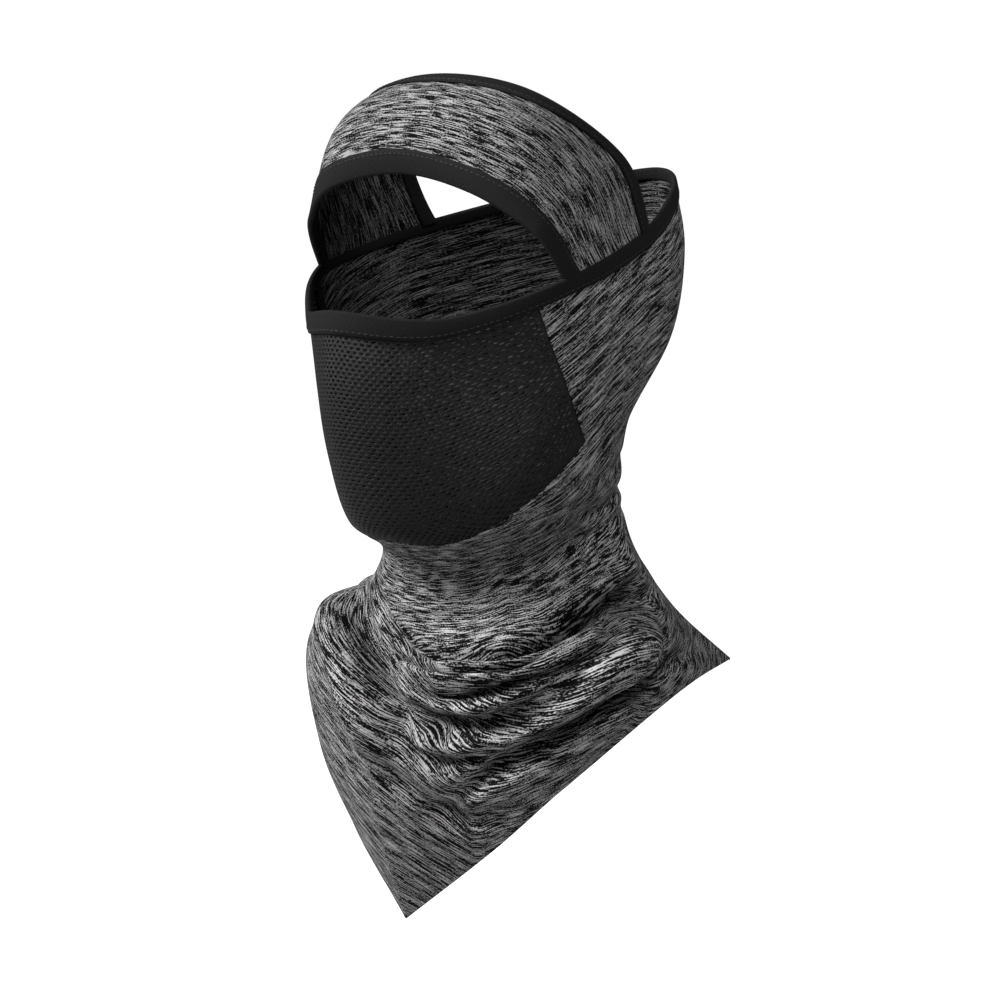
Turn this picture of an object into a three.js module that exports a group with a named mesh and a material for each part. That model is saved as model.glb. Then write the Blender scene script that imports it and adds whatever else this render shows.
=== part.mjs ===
// A knitted balaclava with an open eye window, a perforated mask panel over nose and mouth,
// a pointed neck bib and a headband that crosses the crown from ear to ear.
//
// Millimetres. The wearer faces -Y, the left ear is on +X and +Z is up. The origin is midway
// between the ears, where a head of ordinary size holds the balaclava up.
import * as THREE from 'three';

// ---------------------------------------------------------------- driving dimensions

const KNIT = 1.2; // thickness of the body's knit
const MESH = 0.9; // thickness of the perforated panel
const BAND = 1.4; // thickness of the headband, two layers of knit
const BINDING = 0.9; // thickness of one leg of a folded binding
const GAP = 0.4; // clearance between pieces that touch on the real object

const RIM_WIDTH_FRONT = 9.5; // depth of the face opening's binding under the nose
const RIM_WIDTH_BACK = 6.6; // the same binding at the back of the head
const BAND_BINDING_WIDTH = 7.8; // width of the bindings along the headband's edges
const BAND_EDGE = 2; // how far the headband's cut edges lie outside its two arches
const BAND_CROWN = 10; // how far the headband bulges between its two edges
const BAND_CROWN_START = 1.6; // arch spans from the ear over which the bulge grows
const ROOT_CLEARANCE = 2; // height of the headband's ends above the face opening's edge
const ROOT_LENGTH = 0.45; // share of the first arch span that stays with the face opening

const SEAM_DEPTH = 3.5; // how far a sewn seam's turned-in edges stand into the hollow
const SEAM_THICKNESS = 1.2; // two edges of cloth, pressed together
const THREAD = 0.5; // thickness of a row of topstitching
const THREAD_INSET = 1.6; // distance of a topstitch row from its binding's open edge

// The body is a tube of nine rings, from the face opening down to the hem. Each ring is given
// by five points of its left half. A fold of 0 leaves the ring round at the front or back
// centre, and 1 creases it to a corner.
const RINGS = [
  { name: 'rim', front: [0, -103, -29], cheek: [46, -78, -31], side: [83, -28, -10],
    rear: [59, 49, 12], back: [0, 115, 31], frontFold: 0, backFold: 0 },
  { name: 'nose', front: [0, -106, -62], cheek: [38, -79, -64], side: [82, -26, -44],
    rear: [63, 56, -14], back: [0, 117, 0], frontFold: 0.1, backFold: 0 },
  { name: 'mouth', front: [0, -101, -94], cheek: [38, -72, -96], side: [80, -26, -78],
    rear: [61, 54, -46], back: [0, 103, -37], frontFold: 0.1, backFold: 0 },
  { name: 'chin', front: [0, -88, -126], cheek: [36, -61, -126], side: [74, -20, -106],
    rear: [53, 36, -78], back: [0, 75, -74], frontFold: 0, backFold: 0 },
  { name: 'throat', front: [0, -58, -143], cheek: [35, -41, -144], side: [58, 2, -128],
    rear: [46, 37, -110], back: [0, 64, -106], frontFold: 0, backFold: 0.2 },
  { name: 'collar', front: [0, -56, -170], cheek: [47, -43, -167], side: [61, 5, -152],
    rear: [45, 43, -138], back: [0, 71, -138], frontFold: 0, backFold: 0.4 },
  { name: 'shoulder', front: [0, -84, -208], cheek: [63, -64, -191], side: [82, -6, -181],
    rear: [54, 52, -170], back: [0, 101, -163], frontFold: 0.2, backFold: 0.7 },
  { name: 'chest', front: [0, -81, -259], cheek: [59, -61, -240], side: [89, -16, -215],
    rear: [54, 66, -198], back: [0, 134, -195], frontFold: 0.5, backFold: 0.9 },
  { name: 'hem', front: [0, -61, -316], cheek: [50, -51, -274], side: [83, -27, -236],
    rear: [50, 79, -220], back: [0, 177, -226], frontFold: 1, backFold: 1 },
];

// The mask panel ends along a straight line in front of the ear, and below the chin.
const PANEL_SIDE_AT_RIM = 1.6; // ring position of the panel's side edge at the face opening
const PANEL_SIDE_SLOPE = 0.18; // how far that edge moves back from one ring to the next
const PANEL_CORNER_RING = 2.3; // ring at which the side edge meets the lower edge
const PANEL_CHIN_RING = 3.5; // ring that the lower edge reaches under the chin
const PANEL_CHIN_ROUNDING = 2.5; // how broad the lower edge's middle is

// The headband's two arches, just inside its cut edges, from the left ear up to the crown.
const FRONT_ARCH = [[83, -38, -10], [72, -51, 11], [46, -63, 28], [0, -64, 36]];
const REAR_ARCH = [[77, 22, 6], [70, 6, 40], [48, -28, 67], [0, -38, 75]];
const ROOT_FRONT = 1.87; // ring position of the face opening below the front arch's end
const ROOT_REAR = 2.7; // and below the rear arch's end

// Facets
const PANEL_COLUMNS = 12; // per side
const BODY_COLUMNS = 14; // per side, behind the panel
const PANEL_ROWS = 9;
const BODY_ROWS = 17; // below the panel
const BAND_STATIONS = 40;
const BAND_ROWS = 7;

const HALF_TURN = 4; // ring positions run from 0, front centre, to 4, back centre
const LAST_RING = RINGS.length - 1;
const STEP = 0.004; // step for slopes, in ring positions

// ---------------------------------------------------------------- materials

const knitGrey = new THREE.MeshStandardMaterial({ color: 0x55565a, roughness: 0.95 });
const meshBlack = new THREE.MeshStandardMaterial({ color: 0x17171a, roughness: 0.7 });
const bindingBlack = new THREE.MeshStandardMaterial({ color: 0x111113, roughness: 0.85 });
const threadBlack = new THREE.MeshStandardMaterial({ color: 0x0c0c0e, roughness: 0.6 });

// ---------------------------------------------------------------- the body's surface

const vector = (point) => new THREE.Vector3(...point);
const mirrored = (point) => new THREE.Vector3(-point.x, point.y, point.z);
const spline = (points) => new THREE.CatmullRomCurve3(points, false, 'catmullrom', 0.5);

// A neighbour beyond a ring's front or back centre: the mirror image of the point before it
// where the ring is round, its continuation where the ring is creased.
function beyond(centre, inner, fold) {
  const round = mirrored(inner);
  const creased = centre.clone().multiplyScalar(2).sub(inner);
  return round.lerp(creased, fold);
}

const ringCurves = RINGS.map((ring) => {
  const [front, cheek, side, rear, back] = ['front', 'cheek', 'side', 'rear', 'back']
    .map((station) => vector(ring[station]));
  const before = beyond(front, cheek, ring.frontFold);
  const after = beyond(back, rear, ring.backFold);
  return spline([before, front, cheek, side, rear, back, after]);
});

const columns = new Map();

// The line that runs down the body at one ring position.
function column(around) {
  if (!columns.has(around)) {
    const stations = ringCurves.map((curve) => curve.getPoint((around + 1) / (HALF_TURN + 2)));
    columns.set(around, spline(stations));
  }
  return columns.get(around);
}

// A point of the body: `around` is 0 at the front and +4 or -4 at the back, by the left or
// the right ear, and `down` counts rings from the face opening.
function bodyPoint(around, down) {
  const wrapped = Math.abs(around) > HALF_TURN ? around - Math.sign(around) * 2 * HALF_TURN : around;
  const point = column(Math.abs(wrapped)).getPoint(down / LAST_RING);
  return wrapped < 0 ? mirrored(point) : point;
}

function slope(pointAt, value) {
  return pointAt(value + STEP).sub(pointAt(value - STEP)).divideScalar(2 * STEP);
}

// A point with its outward normal and its downward direction.
function bodyFrame(around, down) {
  const inside = THREE.MathUtils.clamp(down, STEP, LAST_RING - STEP);
  const alongRing = slope((value) => bodyPoint(value, inside), around);
  const alongColumn = slope((value) => bodyPoint(around, value), inside);
  return {
    point: bodyPoint(around, down),
    normal: alongColumn.clone().cross(alongRing).normalize(),
    downward: alongColumn.clone().normalize(),
    ringHeight: alongColumn.length(),
  };
}

// ---------------------------------------------------------------- closed solids

function solid(name, vertices, triangles, material) {
  const geometry = new THREE.BufferGeometry();
  geometry.setAttribute('position', new THREE.Float32BufferAttribute(
    vertices.flatMap((vertex) => [vertex.x, vertex.y, vertex.z]), 3));
  const volume = triangles.reduce((sum, [a, b, c]) =>
    sum + vertices[a].dot(vertices[b].clone().cross(vertices[c])), 0);
  const facing = volume > 0 ? triangles : triangles.map(([a, b, c]) => [a, c, b]);
  geometry.setIndex(facing.flat());
  geometry.computeVertexNormals();
  const mesh = new THREE.Mesh(geometry, material);
  mesh.name = name;
  return mesh;
}

// Both triangles of a four-sided facet.
const facet = (a, b, c, d) => [[a, b, c], [a, c, d]];

// One layer of cloth. `cells` lists the grid cells that it covers, `gridKey` names a grid
// point and `frameAt` gives that point's place and normal.
function clothSolid(name, cells, gridKey, frameAt, thickness, material) {
  const vertices = [];
  const index = new Map();
  const corner = (i, j) => {
    const key = gridKey(i, j);
    if (!index.has(key)) {
      const { point, normal } = frameAt(i, j);
      index.set(key, vertices.length);
      vertices.push(point.clone().addScaledVector(normal, thickness / 2));
      vertices.push(point.clone().addScaledVector(normal, -thickness / 2));
    }
    return index.get(key);
  };
  const triangles = [];
  const edges = new Map();
  for (const [i, j] of cells) {
    const quad = [corner(i, j), corner(i, j + 1), corner(i + 1, j + 1), corner(i + 1, j)];
    triangles.push(...facet(...quad));
    triangles.push(...facet(...quad.map((vertex) => vertex + 1).reverse()));
    quad.forEach((start, side) => {
      const end = quad[(side + 1) % 4];
      if (!edges.delete(`${end} ${start}`)) edges.set(`${start} ${end}`, [start, end]);
    });
  }
  for (const [start, end] of edges.values()) {
    triangles.push(...facet(end, start, start + 1, end + 1));
  }
  return solid(name, vertices, triangles, material);
}

// A section swept through stations. Each station is a list of points, and a sweep that does
// not close on itself is capped with the triangles of its flat outline.
function sweptSolid(name, stations, outline, closed, material) {
  const flat = outline.map(([across, out]) => new THREE.Vector2(across, out));
  const clockwise = THREE.ShapeUtils.isClockWise(flat);
  if (clockwise) flat.reverse();
  const rings = stations.map((station) => (clockwise ? [...station].reverse() : station));
  const size = outline.length;
  const triangles = [];
  const spans = closed ? rings.length : rings.length - 1;
  for (let span = 0; span < spans; span += 1) {
    const here = span * size;
    const next = ((span + 1) % rings.length) * size;
    for (let k = 0; k < size; k += 1) {
      const after = (k + 1) % size;
      triangles.push(...facet(here + k, next + k, next + after, here + after));
    }
  }
  if (!closed) {
    const last = (rings.length - 1) * size;
    for (const [a, b, c] of THREE.ShapeUtils.triangulateShape(flat, [])) {
      triangles.push([a, b, c], [last + a, last + c, last + b]);
    }
  }
  return solid(name, rings.flat(), triangles, material);
}

const BINDING_SHOULDER = [-0.8, 0.75]; // where a binding's fold turns: past the edge, share of its height
const BINDING_CREST = -1.3; // how far the fold reaches past the edge

// The outline of a tape folded over a cloth edge, as [distance from the edge, distance from
// the cloth's middle]. Both legs run down the cloth.
function foldedOutline(width, clothThickness) {
  const inner = clothThickness / 2 + GAP;
  const outer = inner + BINDING;
  const [past, share] = BINDING_SHOULDER;
  const legs = [[width, outer], [width / 2, outer], [0, outer]];
  const crest = [[past, outer * share], [BINDING_CREST, 0], [past, -outer * share]];
  const hollow = [[width, inner], [width / 2, inner], [-GAP, inner]];
  const flip = ([across, out]) => [across, -out];
  return [...legs, ...crest, ...legs.map(flip).reverse(), ...hollow.map(flip), ...hollow.reverse()];
}

// A rectangle around [across, out].
function stripOutline(across, out, width, height) {
  return [[-1, -1], [1, -1], [1, 1], [-1, 1]]
    .map(([a, b]) => [across + a * width / 2, out + b * height / 2]);
}

// ---------------------------------------------------------------- body and mask panel

const panelSide = (down) => PANEL_SIDE_AT_RIM + PANEL_SIDE_SLOPE * Math.min(down, PANEL_CORNER_RING);

function panelFloor(share) {
  const rise = (PANEL_CHIN_RING - PANEL_CORNER_RING) * (1 - share ** PANEL_CHIN_ROUNDING);
  return PANEL_CORNER_RING + rise;
}

// Grid lines bend so that line PANEL_COLUMNS is the panel's side and row PANEL_ROWS its floor.
// `inset` draws the panel in from both.
function gridPosition(i, j, inset = 0) {
  const columnShare = Math.min(Math.abs(i) / PANEL_COLUMNS, 1);
  const floor = panelFloor(columnShare) - inset;
  const down = j <= PANEL_ROWS
    ? floor * j / PANEL_ROWS
    : floor + (LAST_RING - floor) * (j - PANEL_ROWS) / BODY_ROWS;
  const side = panelSide(down) - inset;
  const around = Math.abs(i) <= PANEL_COLUMNS
    ? side * Math.abs(i) / PANEL_COLUMNS
    : side + (HALF_TURN - side) * (Math.abs(i) - PANEL_COLUMNS) / BODY_COLUMNS;
  return [Math.sign(i) * around, down];
}

const HALF_COLUMNS = PANEL_COLUMNS + BODY_COLUMNS;
const ALL_ROWS = PANEL_ROWS + BODY_ROWS;
const inPanel = (i, j) => i >= -PANEL_COLUMNS && i < PANEL_COLUMNS && j < PANEL_ROWS;

function gridCells(keep) {
  const cells = [];
  for (let i = -HALF_COLUMNS; i < HALF_COLUMNS; i += 1) {
    for (let j = 0; j < ALL_ROWS; j += 1) {
      if (keep(i, j)) cells.push([i, j]);
    }
  }
  return cells;
}

const bodyShell = clothSolid('body_shell', gridCells((i, j) => !inPanel(i, j)),
  (i, j) => `${i === HALF_COLUMNS ? -HALF_COLUMNS : i},${j}`,
  (i, j) => bodyFrame(...gridPosition(i, j)), KNIT, knitGrey);

const PANEL_INSET = 0.016; // in ring positions: GAP and the seam's own thickness
const meshPanel = clothSolid('mesh_panel', gridCells(inPanel),
  (i, j) => `${i},${j}`,
  (i, j) => bodyFrame(...gridPosition(i, j, PANEL_INSET)), MESH, meshBlack);

// ---------------------------------------------------------------- face opening

// A place on the body measured from its top edge: `across` in millimetres down the cloth.
function rimPlace(around, [across, out]) {
  const edge = bodyFrame(around, 0);
  if (across < 0) {
    return edge.point.addScaledVector(edge.downward, across).addScaledVector(edge.normal, out);
  }
  const { point, normal } = bodyFrame(around, across / edge.ringHeight);
  return point.addScaledVector(normal, out);
}

const rimWidth = (around) =>
  THREE.MathUtils.lerp(RIM_WIDTH_FRONT, RIM_WIDTH_BACK, Math.min(Math.abs(around) / 2, 1));

// The binding's stations are the body's own columns, so that their facets match.
const rimStations = Array.from({ length: 2 * HALF_COLUMNS }, (_, k) =>
  gridPosition(k - HALF_COLUMNS, 0)[0]);

const rimBinding = sweptSolid('rim_binding',
  rimStations.map((around) =>
    foldedOutline(rimWidth(around), KNIT).map((place) => rimPlace(around, place))),
  foldedOutline(RIM_WIDTH_FRONT, KNIT), true, bindingBlack);

const RIM_THREAD_OUT = KNIT / 2 + GAP + BINDING + GAP + THREAD / 2;
const rimThreadOutline = (around) =>
  stripOutline(rimWidth(around) - THREAD_INSET, RIM_THREAD_OUT, THREAD * 2, THREAD);
const rimStitching = sweptSolid('rim_stitching',
  rimStations.map((around) => rimThreadOutline(around).map((place) => rimPlace(around, place))),
  rimThreadOutline(0), true, threadBlack);

// ---------------------------------------------------------------- seams inside the body

const CREASE_SETBACK = 3; // how far the seam keeps clear of a full crease

// The back seam's edges stand forward into the hollow, further where the bib is creased.
function backSeamStation(down) {
  const { point, normal } = bodyFrame(HALF_TURN, down);
  const ring = Math.min(Math.floor(down), LAST_RING - 1);
  const fold = THREE.MathUtils.lerp(RINGS[ring].backFold, RINGS[ring + 1].backFold, down - ring);
  const start = KNIT / 2 + GAP + CREASE_SETBACK * fold;
  return stripOutline(0, -start - SEAM_DEPTH / 2, SEAM_THICKNESS, SEAM_DEPTH)
    .map(([across, out]) => point.clone().addScaledVector(normal, out)
      .add(new THREE.Vector3(across, 0, 0)));
}

const BACK_SEAM_START = 0.9; // rings: below the face opening's binding
const BACK_SEAM_END = 7.8; // just above the hem
const BACK_SEAM_STATIONS = 30;
const backSeam = sweptSolid('back_seam',
  Array.from({ length: BACK_SEAM_STATIONS }, (_, k) => backSeamStation(
    THREE.MathUtils.lerp(BACK_SEAM_START, BACK_SEAM_END, k / (BACK_SEAM_STATIONS - 1)))),
  stripOutline(0, 0, SEAM_THICKNESS, SEAM_DEPTH), false, knitGrey);

// The panel's seam follows its outline from one side of the face opening to the other.
const PANEL_SEAM_START = 4; // grid rows below the face opening
const panelSeamPath = [];
for (let j = PANEL_SEAM_START; j <= PANEL_ROWS; j += 1) panelSeamPath.push([-PANEL_COLUMNS, j]);
for (let i = 1 - PANEL_COLUMNS; i < PANEL_COLUMNS; i += 1) panelSeamPath.push([i, PANEL_ROWS]);
for (let j = PANEL_ROWS; j >= PANEL_SEAM_START; j -= 1) panelSeamPath.push([PANEL_COLUMNS, j]);

function panelSeamStation(index) {
  const at = (k) => bodyFrame(...gridPosition(...panelSeamPath[k]));
  const { point, normal } = at(index);
  const before = at(Math.max(index - 1, 0)).point;
  const after = at(Math.min(index + 1, panelSeamPath.length - 1)).point;
  const sideways = after.sub(before).normalize().cross(normal).normalize();
  const start = KNIT / 2 + GAP;
  return stripOutline(0, -start - SEAM_DEPTH / 2, SEAM_THICKNESS, SEAM_DEPTH)
    .map(([across, out]) => point.clone().addScaledVector(normal, out)
      .addScaledVector(sideways, across));
}

const panelSeam = sweptSolid('mesh_panel_seam',
  panelSeamPath.map((_, index) => panelSeamStation(index)),
  stripOutline(0, 0, SEAM_THICKNESS, SEAM_DEPTH), false, meshBlack);

// ---------------------------------------------------------------- headband

const ARCH_SPANS = 6; // ear, three spans up to the crown, and three down to the other ear

function archCurve(leftHalf) {
  const left = leftHalf.map(vector);
  return spline([...left, ...left.slice(0, -1).reverse().map(mirrored)]);
}

const frontArch = archCurve(FRONT_ARCH);
const rearArch = archCurve(REAR_ARCH);

// The left half of the headband between its two arches, without its crown. Its end is drawn
// on to the face opening's edge.
function ruledPoint(along, share) {
  const front = frontArch.getPoint(along / ARCH_SPANS);
  const rear = rearArch.getPoint(along / ARCH_SPANS);
  const point = front.lerp(rear, share);
  if (along < 1) {
    const end = vector(FRONT_ARCH[0]).lerp(vector(REAR_ARCH[0]), share);
    const around = THREE.MathUtils.lerp(ROOT_FRONT, ROOT_REAR, share);
    const pull = rimPlace(around, [-ROOT_CLEARANCE, 0]).sub(end);
    point.addScaledVector(pull, (1 - along) ** 2);
  }
  return point;
}

const bandWidth = (along) =>
  frontArch.getPoint(along / ARCH_SPANS).distanceTo(rearArch.getPoint(along / ARCH_SPANS));

// A place on the headband: `along` counts arch spans from the left ear, `behind` is the
// distance in millimetres behind the front arch.
function bandPoint(along, behind) {
  if (along > ARCH_SPANS / 2) return mirrored(bandPoint(ARCH_SPANS - along, behind));
  const share = behind / bandWidth(along);
  const up = slope((value) => ruledPoint(Math.max(value, STEP), share), along + STEP);
  const back = ruledPoint(along, 1).sub(ruledPoint(along, 0));
  const normal = back.cross(up).normalize();
  const crown = BAND_CROWN * THREE.MathUtils.smoothstep(along, 0, BAND_CROWN_START);
  return ruledPoint(along, share).addScaledVector(normal, 4 * crown * share * (1 - share));
}

function bandFrame(along, behind) {
  const inside = THREE.MathUtils.clamp(along, 2 * STEP, ARCH_SPANS - 2 * STEP);
  const up = slope((value) => bandPoint(value, behind), inside);
  const backward = slope((value) => bandPoint(inside, value), behind).normalize();
  return {
    point: bandPoint(along, behind),
    normal: backward.clone().cross(up).normalize(),
    backward,
  };
}

const BAND_SPACING = 28; // rough length of one arch span, to turn a gap into arch spans
const BAND_START = ROOT_LENGTH + GAP / BAND_SPACING;
const bandAlong = (share) => THREE.MathUtils.lerp(BAND_START, ARCH_SPANS - BAND_START, share);

function bandSheet(name, from, to, lengthCells, margin, thickness) {
  const frameAt = (i, j) => {
    const along = THREE.MathUtils.lerp(from, to, i / lengthCells);
    return bandFrame(along, THREE.MathUtils.lerp(-margin, bandWidth(along) + margin, j / BAND_ROWS));
  };
  const cells = [];
  for (let i = 0; i < lengthCells; i += 1) {
    for (let j = 0; j < BAND_ROWS; j += 1) cells.push([i, j]);
  }
  return clothSolid(name, cells, (i, j) => `${i},${j}`, frameAt, thickness, knitGrey);
}

const headband = bandSheet('headband', BAND_START, ARCH_SPANS - BAND_START, BAND_STATIONS,
  BAND_EDGE, BAND);

// The ends, with the folded bindings' full thickness, stay sewn to the face opening.
const ROOT_MARGIN = BAND_EDGE - BINDING_CREST;
const ROOT_THICKNESS = BAND + 2 * (GAP + BINDING);
const ROOT_CELLS = 3;
const rootLeft = bandSheet('headband_root_left', 0, ROOT_LENGTH, ROOT_CELLS,
  ROOT_MARGIN, ROOT_THICKNESS);
const rootRight = bandSheet('headband_root_right', ARCH_SPANS - ROOT_LENGTH, ARCH_SPANS, ROOT_CELLS,
  ROOT_MARGIN, ROOT_THICKNESS);

// A place near one edge of the headband: `across` runs inward from the cut edge.
function bandPlace(along, atFront, [across, out]) {
  const inward = atFront ? 1 : -1;
  const edge = atFront ? -BAND_EDGE : bandWidth(along) + BAND_EDGE;
  const { point, normal, backward } = bandFrame(along, edge + inward * Math.max(across, 0));
  return point.addScaledVector(normal, out)
    .addScaledVector(backward, inward * Math.min(across, 0));
}

function bandSweep(name, atFront, outline, material) {
  const stations = Array.from({ length: BAND_STATIONS + 1 }, (_, k) =>
    outline.map((place) => bandPlace(bandAlong(k / BAND_STATIONS), atFront, place)));
  return sweptSolid(name, stations, outline, false, material);
}

const bandBindingOutline = foldedOutline(BAND_BINDING_WIDTH, BAND);
const frontBinding = bandSweep('headband_front_binding', true, bandBindingOutline, bindingBlack);
const rearBinding = bandSweep('headband_rear_binding', false, bandBindingOutline, bindingBlack);

const BAND_THREAD_OUT = BAND / 2 + GAP + BINDING + GAP + THREAD / 2;
const bandThreadOutline = stripOutline(BAND_BINDING_WIDTH - THREAD_INSET, BAND_THREAD_OUT,
  THREAD * 2, THREAD);
const frontStitching = bandSweep('headband_front_stitching', true, bandThreadOutline, threadBlack);
const rearStitching = bandSweep('headband_rear_stitching', false, bandThreadOutline, threadBlack);

// ---------------------------------------------------------------- assembly

const mask = new THREE.Group();
mask.add(bodyShell, meshPanel, rimBinding, rimStitching, backSeam, panelSeam, rootLeft, rootRight);

const band = new THREE.Group();
band.add(headband, frontBinding, rearBinding, frontStitching, rearStitching);

const balaclava = new THREE.Group();
balaclava.add(mask, band);

export default balaclava;
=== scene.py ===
import math

import bpy
import numpy as np
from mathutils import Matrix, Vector


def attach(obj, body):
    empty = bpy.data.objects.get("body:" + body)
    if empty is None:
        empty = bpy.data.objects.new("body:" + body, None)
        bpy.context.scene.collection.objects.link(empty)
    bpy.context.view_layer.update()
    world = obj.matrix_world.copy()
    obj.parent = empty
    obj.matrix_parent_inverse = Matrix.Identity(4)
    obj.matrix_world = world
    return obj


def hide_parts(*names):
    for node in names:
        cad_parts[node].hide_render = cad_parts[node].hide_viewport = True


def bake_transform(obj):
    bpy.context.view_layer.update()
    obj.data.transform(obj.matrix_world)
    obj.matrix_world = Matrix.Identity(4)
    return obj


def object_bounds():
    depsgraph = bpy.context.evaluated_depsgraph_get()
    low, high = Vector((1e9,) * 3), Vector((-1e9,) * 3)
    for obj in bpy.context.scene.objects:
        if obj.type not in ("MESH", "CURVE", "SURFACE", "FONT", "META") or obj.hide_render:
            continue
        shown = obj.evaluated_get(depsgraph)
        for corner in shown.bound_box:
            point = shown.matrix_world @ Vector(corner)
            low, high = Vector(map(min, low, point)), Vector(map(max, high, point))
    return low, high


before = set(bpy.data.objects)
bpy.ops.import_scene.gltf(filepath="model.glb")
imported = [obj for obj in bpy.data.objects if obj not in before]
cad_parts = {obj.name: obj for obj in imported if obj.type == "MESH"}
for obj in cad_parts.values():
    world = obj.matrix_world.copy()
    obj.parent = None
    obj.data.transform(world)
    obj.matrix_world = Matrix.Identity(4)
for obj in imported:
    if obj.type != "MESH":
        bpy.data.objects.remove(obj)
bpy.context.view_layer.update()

# The balaclava's cloth, bindings and stitches, built round the CAD frame. Shapes are worked
# out in millimetres and become metres when a mesh is made.
MM = 0.001

# ---------------------------------------------------------------- sizes

KNIT = 1.0  # thickness of the body's knit
MESH = 0.45  # thickness of the perforated panel
BAND = 1.4  # thickness of the headband's two layers
TAPE = 0.75  # thickness of one leg of a folded binding
EASE = 0.12  # how far a binding's leg stands off the cloth
RIM_WIDTH_FRONT, RIM_WIDTH_BACK = 9.5, 6.6
BAND_TAPE_WIDTH = 7.8
BAND_EDGE = 2.0  # the headband's cut edge lies this far outside its binding's middle
BAND_CROWN, BAND_CROWN_START = 10.0, 1.6  # bulge between its edges, full after so many spans

# Rings of the body from the face opening down to the hem: front, cheek, side, rear and back
# points of the left half, then how sharply the ring folds at its front and back, 0 to 1.
RINGS = [
    ((0, -103, -29), (46, -78, -31), (83, -28, -10), (59, 49, 12), (0, 115, 31), 0, 0),
    ((0, -106, -62), (38, -79, -64), (82, -26, -44), (63, 56, -14), (0, 117, 0), 0.1, 0),
    ((0, -101, -94), (38, -72, -96), (80, -26, -78), (61, 54, -46), (0, 103, -37), 0.1, 0),
    ((0, -88, -126), (36, -61, -126), (74, -20, -106), (53, 36, -78), (0, 75, -74), 0, 0),
    ((0, -58, -143), (35, -41, -144), (58, 2, -128), (46, 37, -110), (0, 64, -106), 0, 0.2),
    ((0, -56, -170), (47, -43, -167), (61, 5, -152), (45, 43, -138), (0, 71, -138), 0, 0.4),
    ((0, -84, -208), (63, -64, -191), (82, -6, -181), (54, 52, -170), (0, 101, -163), 0.2, 0.7),
    ((0, -81, -259), (59, -61, -240), (89, -16, -215), (54, 66, -198), (0, 134, -195), 0.5, 0.9),
    ((0, -61, -316), (50, -51, -274), (83, -27, -236), (50, 79, -220), (0, 177, -226), 1, 1),
]
HALF_TURN = 4
LAST_RING = len(RINGS) - 1

PANEL_SIDE_AT_RIM, PANEL_SIDE_SLOPE = 1.6, 0.18
PANEL_CORNER_RING, PANEL_CHIN_RING, PANEL_CHIN_ROUNDING = 2.3, 3.5, 2.5

FRONT_ARCH = [(83, -38, -10), (72, -51, 11), (46, -63, 28), (0, -64, 36)]
REAR_ARCH = [(77, 22, 6), (70, 6, 40), (48, -28, 67), (0, -38, 75)]
ROOT_FRONT, ROOT_REAR = 1.87, 2.7
ROOT_DEPTH = 1.0  # the headband's ends reach this far below the face opening's edge
ROOT_INSET = 0.4  # and lie this far inside the body's middle surface
ARCH_SPANS = 6

# Grid of the body's cloth: columns per side in front of and behind the panel's side edge,
# rows beside and below the panel.
PANEL_COLUMNS, BODY_COLUMNS = 72, 104
PANEL_ROWS, BODY_ROWS = 60, 230

UV_SIZE = 100.0  # millimetres of cloth in one texture unit
UV_PER_MM = 1 / UV_SIZE


# ---------------------------------------------------------------- curves and the body's surface

def catmull_rom(a, b, c, d, f):
    return b + 0.5 * f * ((c - a) + f * ((2 * a - 5 * b + 4 * c - d) + f * (3 * (b - c) + d - a)))


def spline(points, t):
    """Points on a smooth curve through points, at knots 0, 1, 2 and on."""
    points = np.asarray(points, float)
    before, after = 2 * points[0] - points[1], 2 * points[-1] - points[-2]
    points = np.concatenate([[before], points, [after]])
    i = np.clip(np.floor(t).astype(int), 0, len(points) - 4)
    return catmull_rom(points[i], points[i + 1], points[i + 2], points[i + 3], (t - i)[..., None])


def ring_points(around):
    """The nine rings' points at ring positions around, all on the left half."""
    stack = []
    for *stations, front_fold, back_fold in RINGS:
        front, cheek, side, rear, back = (np.array(s, float) for s in stations)
        mirror = np.array([-1, 1, 1])
        before = cheek * mirror * (1 - front_fold) + (2 * front - cheek) * front_fold
        after = rear * mirror * (1 - back_fold) + (2 * back - rear) * back_fold
        stack.append(spline([before, front, cheek, side, rear, back, after], around + 1))
    return np.array(stack)


def body_point(around, down):
    """Points of the body: around is 0 at the front and +-4 at the back, down counts rings."""
    around, down = np.broadcast_arrays(np.asarray(around, float), np.asarray(down, float))
    wrapped = np.where(np.abs(around) > HALF_TURN, around - np.sign(around) * 2 * HALF_TURN, around)
    rings = ring_points(np.abs(wrapped))
    rings = np.concatenate([[2 * rings[0] - rings[1]], rings, [2 * rings[-1] - rings[-2]]])
    i = np.clip(np.floor(down).astype(int), 0, LAST_RING - 1)
    near = [np.take_along_axis(rings, (i + k)[None, ..., None], 0)[0] for k in range(4)]
    point = catmull_rom(*near, (down - i)[..., None])
    point[..., 0] *= np.where(wrapped < 0, -1, 1)
    return point


def ease(value, low, high):
    """0 below low, 1 above high, and a smooth step between them."""
    share = np.clip((value - low) / (high - low), 0, 1)
    return share * share * (3 - 2 * share)


def unit(v):
    return v / np.maximum(np.linalg.norm(v, axis=-1, keepdims=True), 1e-9)


STEP = 0.004


def body_frame(around, down):
    """Points with outward normals, downward directions and millimetres per ring."""
    inside = np.clip(down, STEP, LAST_RING - STEP)
    along_ring = body_point(around + STEP, inside) - body_point(around - STEP, inside)
    along_column = body_point(around, inside + STEP) - body_point(around, inside - STEP)
    normal = unit(np.cross(along_column, along_ring))
    height = np.linalg.norm(along_column, axis=-1) / (2 * STEP)
    return body_point(around, down), normal, unit(along_column), height


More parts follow.
